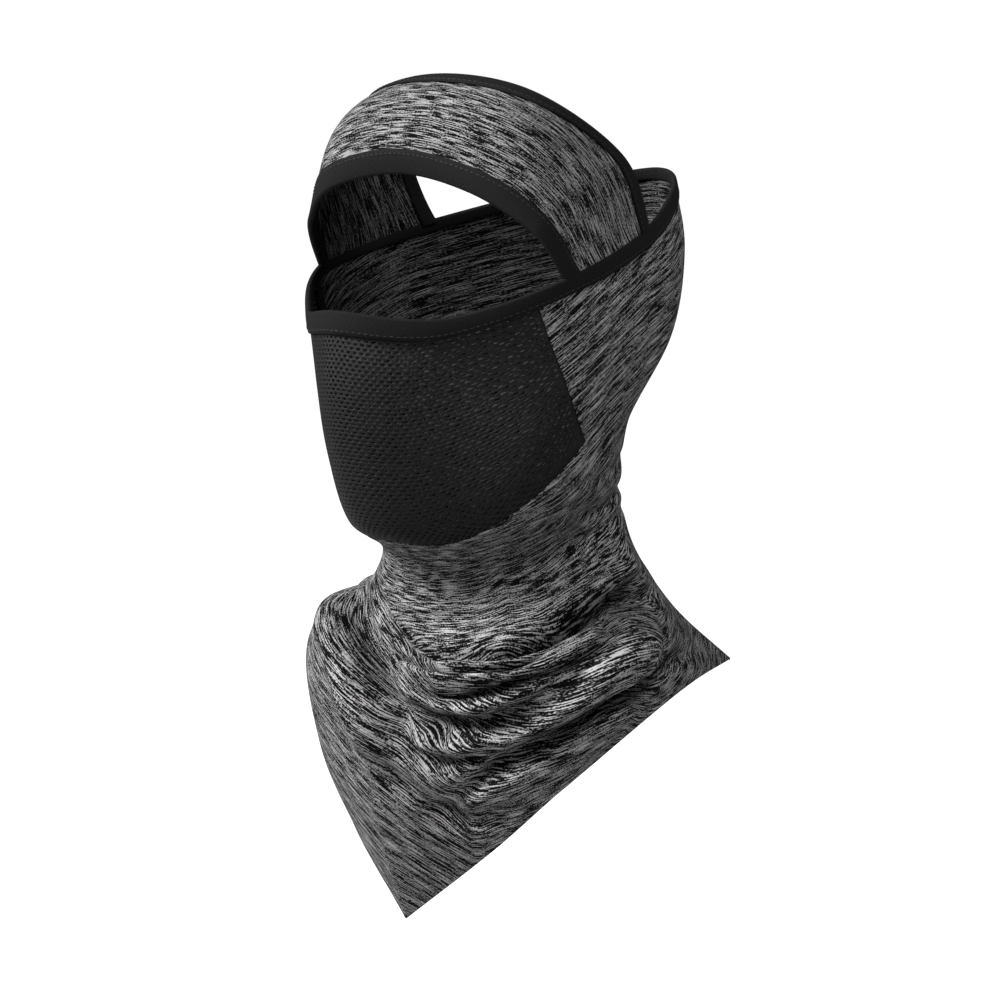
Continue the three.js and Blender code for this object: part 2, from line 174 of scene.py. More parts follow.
def grid_position(i, j):
    """Ring position and ring of a grid point; the lines bend round the mask panel."""
    share = np.minimum(np.abs(i) / PANEL_COLUMNS, 1)
    floor = PANEL_CORNER_RING + (PANEL_CHIN_RING - PANEL_CORNER_RING) * (1 - share**PANEL_CHIN_ROUNDING)
    below = floor + (LAST_RING - floor) * (j - PANEL_ROWS) / BODY_ROWS
    down = np.where(j <= PANEL_ROWS, floor * j / PANEL_ROWS, below)
    side = PANEL_SIDE_AT_RIM + PANEL_SIDE_SLOPE * np.minimum(down, PANEL_CORNER_RING)
    behind = side + (HALF_TURN - side) * (np.abs(i) - PANEL_COLUMNS) / BODY_COLUMNS
    around = np.where(np.abs(i) <= PANEL_COLUMNS, side * np.abs(i) / PANEL_COLUMNS, behind)
    return np.sign(i) * around, down


# ---------------------------------------------------------------- folds

# Each fold: its line as (ring position, ring), its height in millimetres, outward positive,
# and how far it reaches above and below its line.
FOLDS = [
    # the crease where the bib leaves the neck, and the roll under it
    ([(3.6, 5.9), (2.9, 5.6), (2.35, 5.42), (1.95, 5.38), (1.5, 5.47), (1.2, 5.62), (0.95, 5.65),
      (0.6, 5.5), (0.25, 5.4), (0.0, 5.3), (-0.3, 5.15), (-0.55, 4.9), (-0.9, 4.55), (-1.1, 4.2)],
     -8, 3.2, 5.0),
    ([(2.9, 5.3), (2.3, 5.2), (1.9, 5.15), (1.5, 5.2), (1.1, 5.3), (0.8, 5.3), (0.4, 5.15)], 1.5, 9, 5),
    ([(2.6, 5.6), (2.0, 5.53), (1.6, 5.63), (1.28, 5.76), (0.97, 5.76), (0.5, 5.56), (0.05, 5.4),
      (-0.3, 5.27), (-0.75, 5.0)], 3.5, 2.4, 2.2),
    ([(1.75, 5.6), (1.5, 5.68), (1.28, 5.84), (1.05, 5.87), (0.8, 5.8), (0.54, 5.68), (0.2, 5.5),
      (-0.15, 5.4), (-0.5, 5.24), (-1.0, 5.05)], -6, 2.4, 2.4),
    ([(3.6, 6.3), (3.2, 6.05), (2.7, 5.78), (2.25, 5.67), (1.97, 5.75), (1.8, 5.9)], -11, 5, 5),
    ([(3.3, 5.85), (2.9, 5.62), (2.35, 5.45), (1.95, 5.42), (1.6, 5.5), (1.3, 5.62), (1.0, 5.7)],
     -12, 2.4, 5.5),
    ([(2.95, 5.48), (2.65, 5.36), (2.3, 5.27), (1.95, 5.24), (1.6, 5.32), (1.3, 5.43)], 5, 9, 3),
    # first swag
    ([(2.1, 5.85), (1.83, 5.92), (1.58, 5.98), (1.35, 6.0), (1.06, 6.0), (0.74, 5.88),
      (0.36, 5.66), (0.04, 5.5), (-0.27, 5.4)], 4.5, 2.6, 2.2),
    ([(0.05, 5.58), (0.38, 5.86), (0.64, 6.07), (0.9, 6.13), (1.2, 6.11), (1.5, 6.07),
      (1.9, 5.98), (2.3, 5.94), (2.7, 6.1)], -11, 3.8, 4.4),
    ([(0.2, 5.9), (0.5, 6.05), (0.85, 6.12), (1.2, 6.1), (1.5, 6.0)], -5, 9, 9),
    # second swag
    ([(-0.15, 5.55), (0.17, 5.8), (0.41, 6.08), (0.68, 6.24), (0.98, 6.25), (1.28, 6.19),
      (1.57, 6.1), (1.9, 6.02)], 5, 3.2, 2.8),
    ([(0.1, 5.9), (0.25, 6.1), (0.45, 6.32), (0.75, 6.44), (1.06, 6.44), (1.3, 6.38), (1.5, 6.26),
      (1.7, 6.15), (2.0, 6.12)], -15, 4.6, 8),
    # third swag, narrow
    ([(0.15, 6.2), (0.37, 6.44), (0.6, 6.57), (0.82, 6.6), (1.1, 6.58)], 3.5, 2.6, 2.6),
    ([(0.2, 6.36), (0.44, 6.6), (0.66, 6.72), (0.9, 6.72), (1.1, 6.68)], -8, 3.2, 4.5),
    # the hollow that the swags' ends run into
    ([(-0.4, 5.3), (0.1, 5.8), (0.45, 6.3), (0.7, 6.8)], -12, 24, 6),
    # the valley beside the far shoulder's lobe
    ([(-1.1, 4.9), (-0.87, 5.08), (-0.31, 5.46), (-0.09, 5.72), (0.11, 6.0), (0.23, 6.3),
      (0.33, 6.5), (0.5, 6.7)], -13, 5, 7),
    ([(-1.5, 5.4), (-1.19, 5.48), (-0.5, 5.75), (-0.19, 6.08), (0.04, 6.44), (0.2, 6.8)], 8, 12, 7),
    # the broad ridge and the long diagonal under it
    ([(2.85, 6.5), (2.5, 6.32), (1.92, 6.27), (1.57, 6.42), (1.27, 6.56), (0.9, 6.72)],
     12, 10, 9),
    ([(3.9, 7.6), (3.43, 7.46), (2.67, 7.06), (2.03, 6.76), (1.58, 6.76), (1.2, 6.83), (0.88, 6.94),
      (0.67, 7.06), (0.45, 7.24)], -14, 5.5, 4.5),
    ([(3.5, 7.15), (2.9, 6.85), (2.3, 6.6), (1.8, 6.6), (1.4, 6.68)], 4, 4, 4),
    ([(0.35, 7.0), (0.53, 7.16), (0.71, 7.36), (0.96, 7.46), (1.2, 7.5)], -7, 6, 6),
    ([(-0.1, 6.3), (0.06, 6.54), (0.25, 6.78), (0.43, 7.0), (0.57, 7.2), (0.7, 7.4)], -5, 5, 5),
    # creases that run from the nape to the throat
    ([(3.6, 4.4), (2.9, 4.2), (2.2, 3.95), (1.7, 3.6), (1.3, 3.4)], -3, 4, 3),
    ([(3.6, 4.75), (2.8, 4.55), (2.0, 4.3), (1.2, 4.15), (0.4, 4.2)], -2, 4, 3),
    ([(3.4, 3.8), (2.7, 3.6), (2.2, 3.2), (1.9, 2.8)], -2, 4, 4),
    # the same on the right half
    ([(-3.7, 5.35), (-2.8, 5.4), (-2.0, 5.3), (-1.4, 5.0), (-1.0, 4.5)], -6, 6, 6),
    ([(-3.6, 4.4), (-2.9, 4.2), (-2.2, 4.0), (-1.4, 3.7)], -3, 4, 3),
    ([(-3.2, 5.9), (-2.4, 5.75), (-1.8, 5.55), (-1.3, 5.3)], 3, 5, 5),
    ([(-3.4, 6.2), (-2.6, 6.0), (-1.9, 5.8), (-1.3, 5.55)], -5, 5, 6),
    ([(-3.2, 6.7), (-2.4, 6.5), (-1.8, 6.2), (-1.2, 5.85)], 4, 8, 8),
    ([(-3.6, 7.5), (-2.8, 7.2), (-2.1, 6.9), (-1.5, 6.5), (-1.0, 6.1)], -7, 7, 7),
]

FOLD_SAMPLES = 240
FOLDS_START, FOLDS_FULL = 0.5, 1.5  # rings over which folds grow below the face opening
FOLD_MARGIN = 3  # reaches beyond which a fold is too low to matter
FOLD_FADE = 0.34  # share of a fold's line over which it rises from nothing


def fold_relief(point):
    """Height of the folds over the body's smooth surface, in millimetres."""
    height = np.zeros(len(point))
    for line, rise, above, below in FOLDS:
        t = np.linspace(0, len(line) - 1, FOLD_SAMPLES)
        path = spline(line, t)
        samples, normal, downward, _ = body_frame(path[:, 0], path[:, 1])
        margin = FOLD_MARGIN * max(above, below)
        inside = (point > samples.min(axis=0) - margin) & (point < samples.max(axis=0) + margin)
        close = np.flatnonzero(inside.all(axis=1))
        across = np.cross(np.gradient(samples, axis=0), normal)
        across = unit(across) * np.sign((across * downward).sum(axis=1))[:, None]
        offset = point[close, None] - samples[None]
        reach = np.linalg.norm(offset, axis=2)
        nearest = np.argmin(reach, axis=1)
        side = (offset[np.arange(len(close)), nearest] * across[nearest]).sum(axis=1)
        share = nearest / (FOLD_SAMPLES - 1)
        fade = ease(np.minimum(share, 1 - share), 0, FOLD_FADE)
        width = np.where(side < 0, above, below)
        height[close] += rise * fade * np.exp(-((reach.min(axis=1) / width) ** 2))
    return height


# ---------------------------------------------------------------- run of the knit

# Slopes of the courses against the rings, in millimetres for each ring position, the ring
# positions between which they hold, and the rings over which they come and go.
HEAD_RISE, HEAD_RISE_END, HEAD_RISE_RINGS = 26.0, 2.6, (2.2, 5.2)
HEAD_FLATTER, HEAD_FLATTER_START, HEAD_FLATTER_SPAN = 0.48, 1.9, 0.7
THROAT_RISE, THROAT_RISE_END, THROAT_RISE_RINGS = 24.0, 1.1, (3.2, 4.4)
THROAT_LEVELLING, THROAT_LEVELLING_RINGS = 0.5, (4.8, 5.7)
FRONT_ROUNDING = 0.35
BIB_TURN, BIB_TURN_START = -38.0, -1.6
BIB_TURN_END_HIGH, BIB_TURN_END_LOW, BIB_TURN_END_RINGS = 0.42, 0.75, (5.8, 7.2)
WING_RISE, WING_START, WING_END, WING_RINGS = 22.0, 0.85, 1.35, (6.2, 7.4)
TAIL_TURN, TAIL_START = -32.0, 2.3
# The ring at which the bib's knit takes over from the neck's, hidden in the crease between them
NECK_CREASE = [(-4, 5.3), (-2.8, 5.4), (-2.0, 5.3), (-1.4, 5.0), (-1.0, 4.5), (-0.55, 4.9), (0, 5.3),
               (0.25, 5.4), (0.6, 5.5), (0.95, 5.65), (1.2, 5.62), (1.5, 5.47), (1.95, 5.38),
               (2.35, 5.42), (2.9, 5.6), (3.6, 5.9), (4, 6.0)]


def neck_lean(around, down):
    """How far the knit's courses run away from the body's rings above the crease, in millimetres."""
    half = np.sqrt(around**2 + FRONT_ROUNDING**2)
    flatter = HEAD_FLATTER * np.clip(half - HEAD_FLATTER_START, 0, HEAD_FLATTER_SPAN) ** 2
    head = HEAD_RISE * (np.minimum(half, HEAD_RISE_END) - flatter - HEAD_RISE_END / 2)
    throat = THROAT_RISE * (np.minimum(half, THROAT_RISE_END) - THROAT_RISE_END / 2)
    levelling = THROAT_LEVELLING * ease(down, *THROAT_LEVELLING_RINGS)
    throat = throat * (ease(down, *THROAT_RISE_RINGS) - levelling)
    return head * (1 - ease(down, *HEAD_RISE_RINGS)) + throat


def bib_lean(around, down):
    """The same below the crease."""
    lower = ease(down, *BIB_TURN_END_RINGS)
    turn_end = BIB_TURN_END_HIGH + (BIB_TURN_END_LOW - BIB_TURN_END_HIGH) * lower
    turn = BIB_TURN * np.clip(around, BIB_TURN_START, turn_end)
    wing = WING_RISE * (np.clip(around, WING_START, WING_END) - WING_START)
    tail = TAIL_TURN * np.maximum(np.abs(around) - TAIL_START, 0)
    return turn + wing * ease(down, *WING_RINGS) + tail


# ---------------------------------------------------------------- meshes

def mesh_object(name, vertices, faces, uvs=None):
    """A smooth-shaded object; vertices in millimetres, uvs a pair for each vertex or face corner."""
    mesh = bpy.data.meshes.new(name)
    mesh.from_pydata((np.asarray(vertices) * MM).tolist(), [], [list(map(int, f)) for f in faces])
    mesh.update()
    mesh.polygons.foreach_set("use_smooth", np.ones(len(mesh.polygons), bool))
    if uvs is not None:
        layer = mesh.uv_layers.new(name="cloth")
        corner = np.zeros(len(mesh.loops), np.int32)
        mesh.loops.foreach_get("vertex_index", corner)
        uvs = np.asarray(uvs, np.float32)
        layer.data.foreach_set("uv", (uvs[corner] if uvs.ndim == 2 else uvs).ravel())
    obj = bpy.data.objects.new(name, mesh)
    bpy.context.collection.objects.link(obj)
    return obj


def apply_modifiers(obj):
    bpy.context.view_layer.update()
    evaluated = obj.evaluated_get(bpy.context.evaluated_depsgraph_get())
    mesh = bpy.data.meshes.new_from_object(evaluated)
    obj.modifiers.clear()
    obj.data = mesh
    return obj


def thicken(obj, thickness):
    """Gives a single layer of cloth its thickness, half to each side, and marks its inner face."""
    layer = len(obj.data.vertices)
    solidify = obj.modifiers.new("thickness", "SOLIDIFY")
    solidify.thickness = thickness * MM
    solidify.offset = 0
    apply_modifiers(obj)
    # the mark of the inner face, where the knit's material paints shade into its tone
    inside = obj.data.attributes.new("inside", "FLOAT", "POINT")
    inside.data.foreach_set("value", np.arange(len(obj.data.vertices)) >= layer)
    return obj


def grid_faces(columns, rows, keep=None):
    """Four-sided faces of a (columns + 1) x (rows + 1) grid of points."""
    i, j = np.meshgrid(np.arange(columns), np.arange(rows), indexing="ij")
    if keep is not None:
        mask = keep(i, j)
        i, j = i[mask], j[mask]
    i, j = i.ravel(), j.ravel()
    stride = rows + 1
    return np.stack([i * stride + j, i * stride + j + 1, (i + 1) * stride + j + 1,
                     (i + 1) * stride + j], axis=1)


def drop_loose(vertices, faces):
    """Leaves out the grid points that no face uses."""
    used, faces = np.unique(faces, return_inverse=True)
    return vertices[used], faces.reshape(-1, 4)


def loft(name, stations, closed_path, closed_section=True):
    """A mesh through stations, an array of (station, section point, 3)."""
    count, size = stations.shape[:2]
    i, j = np.meshgrid(np.arange(count if closed_path else count - 1),
                       np.arange(size if closed_section else size - 1), indexing="ij")
    i, j = i.ravel(), j.ravel()
    i2, j2 = (i + 1) % count, (j + 1) % size
    faces = np.stack([i * size + j, i * size + j2, i2 * size + j2, i2 * size + j], axis=1).tolist()
    if not closed_path:
        faces.append(list(range(size))[::-1])
        faces.append([(count - 1) * size + k for k in range(size)])
    along = np.cumsum(np.r_[0, np.linalg.norm(np.diff(stations[:, 0], axis=0), axis=1)])
    across = np.cumsum(np.r_[0, np.linalg.norm(np.diff(stations[0], axis=0), axis=1)])
    uvs = np.stack(np.meshgrid(along, across, indexing="ij"), axis=-1).reshape(-1, 2) * UV_PER_MM
    return mesh_object(name, stations.reshape(-1, 3), faces, uvs)


# ---------------------------------------------------------------- the body and the mask panel

def cloth_grid():
    """Grid points of the whole body with folds, and their texture coordinates."""
    columns = PANEL_COLUMNS + BODY_COLUMNS
    i, j = np.meshgrid(np.arange(-columns, columns + 1), np.arange(PANEL_ROWS + BODY_ROWS + 1),
                       indexing="ij")
    around, down = (g.ravel() for g in grid_position(i.astype(float), j.astype(float)))
    point, normal, _, _ = body_frame(around, down)
    shape = i.shape
    steps = np.linalg.norm(np.diff(point.reshape(*shape, 3), axis=1), axis=2)
    length = np.cumsum(np.concatenate([np.zeros((shape[0], 1)), steps], axis=1), axis=1)
    growth = ease(down, FOLDS_START, FOLDS_FULL)
    point = point + normal * (fold_relief(point) * growth)[:, None]
    return point.reshape(*shape, 3), around.reshape(shape), down.reshape(shape), length


grid, grid_around, grid_down, grid_length = cloth_grid()
COLUMNS, ROWS = grid.shape[0] - 1, grid.shape[1] - 1
RING_SPAN = 66.0  # millimetres of cloth from one ring position to the next, roughly


def cloth_uvs(faces):
    """Texture coordinates of the faces' corners: along the knit's courses and across them."""
    around, down, length = (g.ravel()[faces] for g in (grid_around, grid_down, grid_length))
    crease = np.interp(around.mean(axis=1), *np.transpose(NECK_CREASE))
    on_bib = (down.mean(axis=1) > crease)[:, None]
    lean = np.where(on_bib, bib_lean(around, down), neck_lean(around, down))
    return np.stack([around * RING_SPAN, length + lean], axis=-1) * UV_PER_MM


def outside_panel(i, j):
    middle = PANEL_COLUMNS + BODY_COLUMNS
    return (j >= PANEL_ROWS) | (i < middle - PANEL_COLUMNS) | (i >= middle + PANEL_COLUMNS)


WELD_DISTANCE = 0.02


def make_body():
    faces = grid_faces(COLUMNS, ROWS, outside_panel)
    uvs = cloth_uvs(faces)
    vertices, faces = drop_loose(grid.reshape(-1, 3), faces)
    body = mesh_object("knit_body", vertices, faces, uvs)
    weld = body.modifiers.new("back seam", "WELD")
    weld.merge_threshold = WELD_DISTANCE * MM
    apply_modifiers(body)
    return thicken(body, KNIT)


HOLE_SPACING = 4.4  # from one hole to the next along a row
HOLE_ROW = 1.8  # from one row to the next; rows are staggered
HOLE_WIDTH, HOLE_HEIGHT = 2.2, 0.9
PANEL_WIDTH, PANEL_HEIGHT = 216.0, 108.0  # over which the holes are spread evenly


def panel_point(x, y):
    """Points of the panel: x from -1 to 1 across it, y from 0 to 1 down it."""
    around, down = grid_position(x * PANEL_COLUMNS, y * PANEL_ROWS)
    return body_point(around, down)


def make_panel():
    """Perforated tricot: each tile of cloth is eight faces round an oval hole."""
    tiles_across, rows = round(PANEL_WIDTH / HOLE_SPACING), round(PANEL_HEIGHT / HOLE_ROW)
    step_x, step_y = 1 / tiles_across, 1 / rows
    hole_x = HOLE_WIDTH / HOLE_SPACING * step_x
    hole_y = HOLE_HEIGHT / HOLE_ROW * step_y / 2
    turns = np.radians([225, 270, 315, 0, 45, 90, 135, 180])
    oval = np.stack([np.cos(turns) * hole_x, np.sin(turns) * hole_y], axis=1)
    border = np.array([(-1, -1), (0, -1), (1, -1), (1, 0), (1, 1), (0, 1), (-1, 1), (-1, 0)])
    border = border * [step_x, step_y / 2]
    places, faces, index = [], [], {}

    def corner(x, y):
        key = (round(x * 1e6), round(y * 1e6))
        if key not in index:
            index[key] = len(places)
            places.append((x, y))
        return index[key]

    for row in range(rows):
        y = (row + 0.5) * step_y
        start = 1 if row % 2 else 0
        for tile in range(tiles_across - start):
            x = -1 + (2 * tile + 1 + start) * step_x
            outer = [corner(x + dx, y + dy) for dx, dy in border]
            inner = [corner(x + dx, y + dy) for dx, dy in oval]
            faces += [(outer[k], outer[(k + 1) % 8], inner[(k + 1) % 8], inner[k]) for k in range(8)]
        if start:
            for low, high in ((-1, -1 + step_x), (1 - step_x, 1)):
                top, bottom, half = y - step_y / 2, y + step_y / 2, y
                left = [corner(low, top), corner(low, half), corner(low, bottom)]
                right = [corner(high, top), corner(high, half), corner(high, bottom)]
                faces += [(left[0], right[0], right[1], left[1]), (left[1], right[1], right[2], left[2])]
    places = np.array(places)
    points = panel_point(places[:, 0], places[:, 1])
    uvs = places * [PANEL_WIDTH / 2, PANEL_HEIGHT] * UV_PER_MM
    panel = mesh_object("mesh_mask_panel", points, faces, uvs)
    return thicken(panel, MESH)


# ---------------------------------------------------------------- folded bindings

INNER_LEG = 0.72  # width of a binding's inner leg beside its outer leg
HEM_ROLL = 0.12  # how far a leg's free edge rounds out
LEG_CROWN = 0.25  # how far a leg bulges off the cloth
CREST_REACH = 0.95  # how far the fold reaches past the cloth's edge, in its own half thickness
EDGE_ROOM = 0.1  # between the cloth's edge and the fold
LEG_STEPS, CREST_POINTS = 5, 9


def folded_section(width, cloth):
    """Outline of a tape folded over a cloth edge: [distance from the edge, height] pairs."""
    inner = cloth / 2 + EASE
    outer = inner + TAPE
    leg = [(width * k / LEG_STEPS, outer + LEG_CROWN * math.sin(math.pi * k / LEG_STEPS))
           for k in range(LEG_STEPS, 0, -1)]
    crest = [(-math.sin(a) * outer * CREST_REACH, math.cos(a) * outer)
             for a in np.linspace(0, math.pi, CREST_POINTS)]
    back_leg = [(across * INNER_LEG, -out) for across, out in reversed(leg)]
    middle, back = (inner + outer) / 2, width * INNER_LEG
    inside = [(back + HEM_ROLL, -middle), (back, -inner), (back / 2, -inner), (-EDGE_ROOM, -inner),
              (-EDGE_ROOM, inner), (width / 2, inner), (width, inner), (width + HEM_ROLL, middle)]
    return np.array(leg + crest + back_leg + inside)


def rim_width(around):
    return RIM_WIDTH_FRONT + (RIM_WIDTH_BACK - RIM_WIDTH_FRONT) * np.minimum(np.abs(around) / 2, 1)


def rim_place(around, across, out):
    """Points measured from the body's top edge, across millimetres down the cloth."""
    edge, edge_normal, downward, height = body_frame(around, np.zeros_like(around))
    point, normal, _, _ = body_frame(around, np.maximum(across, 0) / height)
    above = edge + downward * across[:, None] + edge_normal * out[:, None]
    return np.where((across < 0)[:, None], above, point + normal * out[:, None])


RIM_STATIONS = 420


def make_rim_binding():
    around = np.linspace(-HALF_TURN, HALF_TURN, RIM_STATIONS, endpoint=False)
    section = folded_section(1.0, KNIT)
    size = len(section)
    widths = np.array([folded_section(w, KNIT) for w in rim_width(around)])
    places = rim_place(np.repeat(around, size), widths[..., 0].ravel(), widths[..., 1].ravel())
    return loft("rim_binding_tape", places.reshape(RIM_STATIONS, size, 3), True)


# ---------------------------------------------------------------- headband

def arch(points, along):
    left = [np.array(p, float) for p in points]
    right = [p * [-1, 1, 1] for p in left[-2::-1]]
    return spline(left + right, along)


def ruled_point(along, share):
    front, rear = arch(FRONT_ARCH, along), arch(REAR_ARCH, along)
    point = front + (rear - front) * share[:, None]
    end = np.array(FRONT_ARCH[0]) + (np.array(REAR_ARCH[0]) - FRONT_ARCH[0]) * share[:, None]
    around = ROOT_FRONT + (ROOT_REAR - ROOT_FRONT) * share
    root = rim_place(around, np.full_like(along, ROOT_DEPTH), np.full_like(along, -ROOT_INSET))
    weight = np.clip(1 - along, 0, 1) ** 2
    return point + (root - end) * weight[:, None]


def band_width(along):
    return np.linalg.norm(arch(REAR_ARCH, along) - arch(FRONT_ARCH, along), axis=-1)


def band_point(along, behind):
    """Points of the headband: along in arch spans from the left ear, behind in millimetres."""
    right = along > ARCH_SPANS / 2
    left = np.where(right, ARCH_SPANS - along, along)
    share = behind / band_width(left)
    up = ruled_point(left + STEP, share) - ruled_point(np.maximum(left - STEP, 0), share)
    back = ruled_point(left, np.ones_like(share)) - ruled_point(left, np.zeros_like(share))
    normal = unit(np.cross(back, up))
    crown = BAND_CROWN * ease(left, 0, BAND_CROWN_START)
    point = ruled_point(left, share) + normal * (4 * crown * share * (1 - share))[:, None]
    point[:, 0] *= np.where(right, -1, 1)
    return point


def band_frame(along, behind):
    inside = np.clip(along, 2 * STEP, ARCH_SPANS - 2 * STEP)
    up = band_point(inside + STEP, behind) - band_point(inside - STEP, behind)
    backward = band_point(inside, behind + 0.2) - band_point(inside, behind - 0.2)
    normal = unit(np.cross(backward, up))
    return band_point(along, behind), normal, unit(backward)


BAND_CELLS_ALONG, BAND_CELLS_ACROSS = 190, 36


def make_headband():
    along = np.linspace(0, ARCH_SPANS, BAND_CELLS_ALONG + 1)
    share = np.linspace(0, 1, BAND_CELLS_ACROSS + 1)
    grid_along, grid_share = np.meshgrid(along, share, indexing="ij")
    width = band_width(grid_along)
    behind = -BAND_EDGE + grid_share * (width + 2 * BAND_EDGE)
    point, normal, _ = band_frame(grid_along.ravel(), behind.ravel())
    centre = point.reshape(*grid_along.shape, 3)[:, BAND_CELLS_ACROSS // 2]
    distance = np.cumsum(np.r_[0, np.linalg.norm(np.diff(centre, axis=0), axis=1)])
    uvs = np.stack([np.repeat(distance, BAND_CELLS_ACROSS + 1), behind.ravel()], axis=1) * UV_PER_MM
    band = mesh_object("headband_knit", point, grid_faces(BAND_CELLS_ALONG, BAND_CELLS_ACROSS), uvs)
    return thicken(band, BAND)


def band_place(along, at_front, across, out):
    inward = 1 if at_front else -1
    edge = np.full_like(along, -BAND_EDGE) if at_front else band_width(along) + BAND_EDGE
    point, normal, backward = band_frame(along, edge + inward * np.maximum(across, 0))
    return point + normal * out[:, None] + backward * (inward * np.minimum(across, 0))[:, None]


BAND_STATIONS = 200


def make_band_binding(name, at_front):
    along = np.linspace(0, ARCH_SPANS, BAND_STATIONS)
    section = folded_section(BAND_TAPE_WIDTH, BAND)
    size = len(section)
    across, out = (np.tile(section[:, k], BAND_STATIONS) for k in (0, 1))
    places = band_place(np.repeat(along, size), at_front, across, out)
    return loft(name, places.reshape(BAND_STATIONS, size, 3), False)


# ---------------------------------------------------------------- stitches

STITCH_LENGTH, STITCH_PITCH, STITCH_RADIUS = 2.3, 3.0, 0.22
STITCH_STEPS, STITCH_SIDES = 5, 6
STITCH_TIP = 0.45  # girth of a stitch at its ends, and how deep they sink, as shares of its radius


def stitch_row(name, path, normals):
    """A row of separate stitches along a dense path, each a small arched bead of thread."""
    distance = np.cumsum(np.r_[0, np.linalg.norm(np.diff(path, axis=0), axis=1)])
    arc = np.sin(np.linspace(0, math.pi, STITCH_STEPS))
    girth = STITCH_RADIUS * (STITCH_TIP + (1 - STITCH_TIP) * arc)
    vertices, faces = [], []
    for start in np.arange(0, distance[-1] - STITCH_LENGTH, STITCH_PITCH):
        s = start + np.linspace(0, STITCH_LENGTH, STITCH_STEPS)
        centre = np.stack([np.interp(s, distance, path[:, k]) for k in range(3)], axis=1)
        out = unit(np.stack([np.interp(s, distance, normals[:, k]) for k in range(3)], axis=1))
        forward = unit(np.gradient(centre, axis=0))
        sideways = unit(np.cross(forward, out))
        centre = centre + out * (STITCH_RADIUS * (arc - STITCH_TIP))[:, None]
        base = len(vertices)
        for k in range(STITCH_STEPS):
            for side in range(STITCH_SIDES):
                a = 2 * math.pi * side / STITCH_SIDES
                vertices.append(centre[k] + girth[k] * (math.cos(a) * sideways[k] + math.sin(a) * out[k]))
        for k in range(STITCH_STEPS - 1):
            for side in range(STITCH_SIDES):
                p, q = (base + k * STITCH_SIDES + x % STITCH_SIDES for x in (side, side + 1))
                faces.append((p, q, q + STITCH_SIDES, p + STITCH_SIDES))
        faces.append([base + side for side in range(STITCH_SIDES)][::-1])
        faces.append([base + (STITCH_STEPS - 1) * STITCH_SIDES + side for side in range(STITCH_SIDES)])
    return mesh_object(name, np.array(vertices), faces)


THREAD_INSET = 1.6  # distance of a topstitch row from its binding's open edge
THREAD_LIFT = 0.12  # height of a row over the tape
RIM_THREAD_POINTS, BAND_THREAD_POINTS = 900, 700
BAND_THREAD_END = 0.08  # arch spans left free of stitches at the headband's ends


def make_rim_stitches():
    around = np.linspace(-HALF_TURN, HALF_TURN, RIM_THREAD_POINTS)
    lift = KNIT / 2 + EASE + TAPE + THREAD_LIFT
    across = rim_width(around) - THREAD_INSET
    path = rim_place(around, across, np.full_like(around, lift))
    higher = rim_place(around, across, np.full_like(around, lift + 1))
    return stitch_row("rim_topstitch", path, higher - path)


def make_band_stitches(name, at_front):
    along = np.linspace(BAND_THREAD_END, ARCH_SPANS - BAND_THREAD_END, BAND_THREAD_POINTS)
    lift = BAND / 2 + EASE + TAPE + THREAD_LIFT
    across = np.full_like(along, BAND_TAPE_WIDTH - THREAD_INSET)
    path = band_place(along, at_front, across, np.full_like(along, lift))
    higher = band_place(along, at_front, across, np.full_like(along, lift + 1))
    return stitch_row(name, path, higher - path)


# ---------------------------------------------------------------- seams inside the body

SEAM_START = 0.2  # how far inside the middle of the cloth a seam's turned-in edges begin
BACK_SEAM_DEPTH, BACK_SEAM_THICKNESS, BACK_SEAM_RINGS = 3.4, 1.4, (0.9, 7.9)
PANEL_SEAM_DEPTH, PANEL_SEAM_THICKNESS, PANEL_SEAM_TOP = 4.0, 1.2, 0.06
BACK_SEAM_STATIONS, PANEL_SEAM_ROWS, PANEL_SEAM_COLUMNS = 200, 60, 160


def seam_ridge(name, around, down, depth, thickness):
    """Turned-in cloth edges that stand inward from a seam line on the body."""
    point, normal, _, _ = body_frame(around, down)
    path, inward = point - normal * SEAM_START, -normal
    forward = unit(np.gradient(path, axis=0))
    sideways = unit(np.cross(forward, inward))
    outline = [(0, -1), (0.5, -1.1), (0.92, -0.9), (1, 0), (0.92, 0.9), (0.5, 1.1), (0, 1)]
    stations = np.stack([path + inward * (depth * a) + sideways * (thickness / 2 * b)
                         for a, b in outline], axis=1)
    return loft(name, stations, False)


def make_back_seam():
    down = np.linspace(*BACK_SEAM_RINGS, BACK_SEAM_STATIONS)
    around = np.full_like(down, HALF_TURN)
    return seam_ridge("back_seam_edges", around, down, BACK_SEAM_DEPTH, BACK_SEAM_THICKNESS)


def make_panel_seam():
    rows = np.linspace(PANEL_SEAM_TOP, 1, PANEL_SEAM_ROWS)
    columns = np.linspace(-1, 1, PANEL_SEAM_COLUMNS)[1:-1]
    x = np.r_[-np.ones_like(rows), columns, np.ones_like(rows)]
    y = np.r_[rows, np.ones_like(columns), rows[::-1]]
    around, down = grid_position(x * PANEL_COLUMNS, y * PANEL_ROWS)
    return seam_ridge("panel_seam_edges", around, down, PANEL_SEAM_DEPTH, PANEL_SEAM_THICKNESS)


# ---------------------------------------------------------------- materials

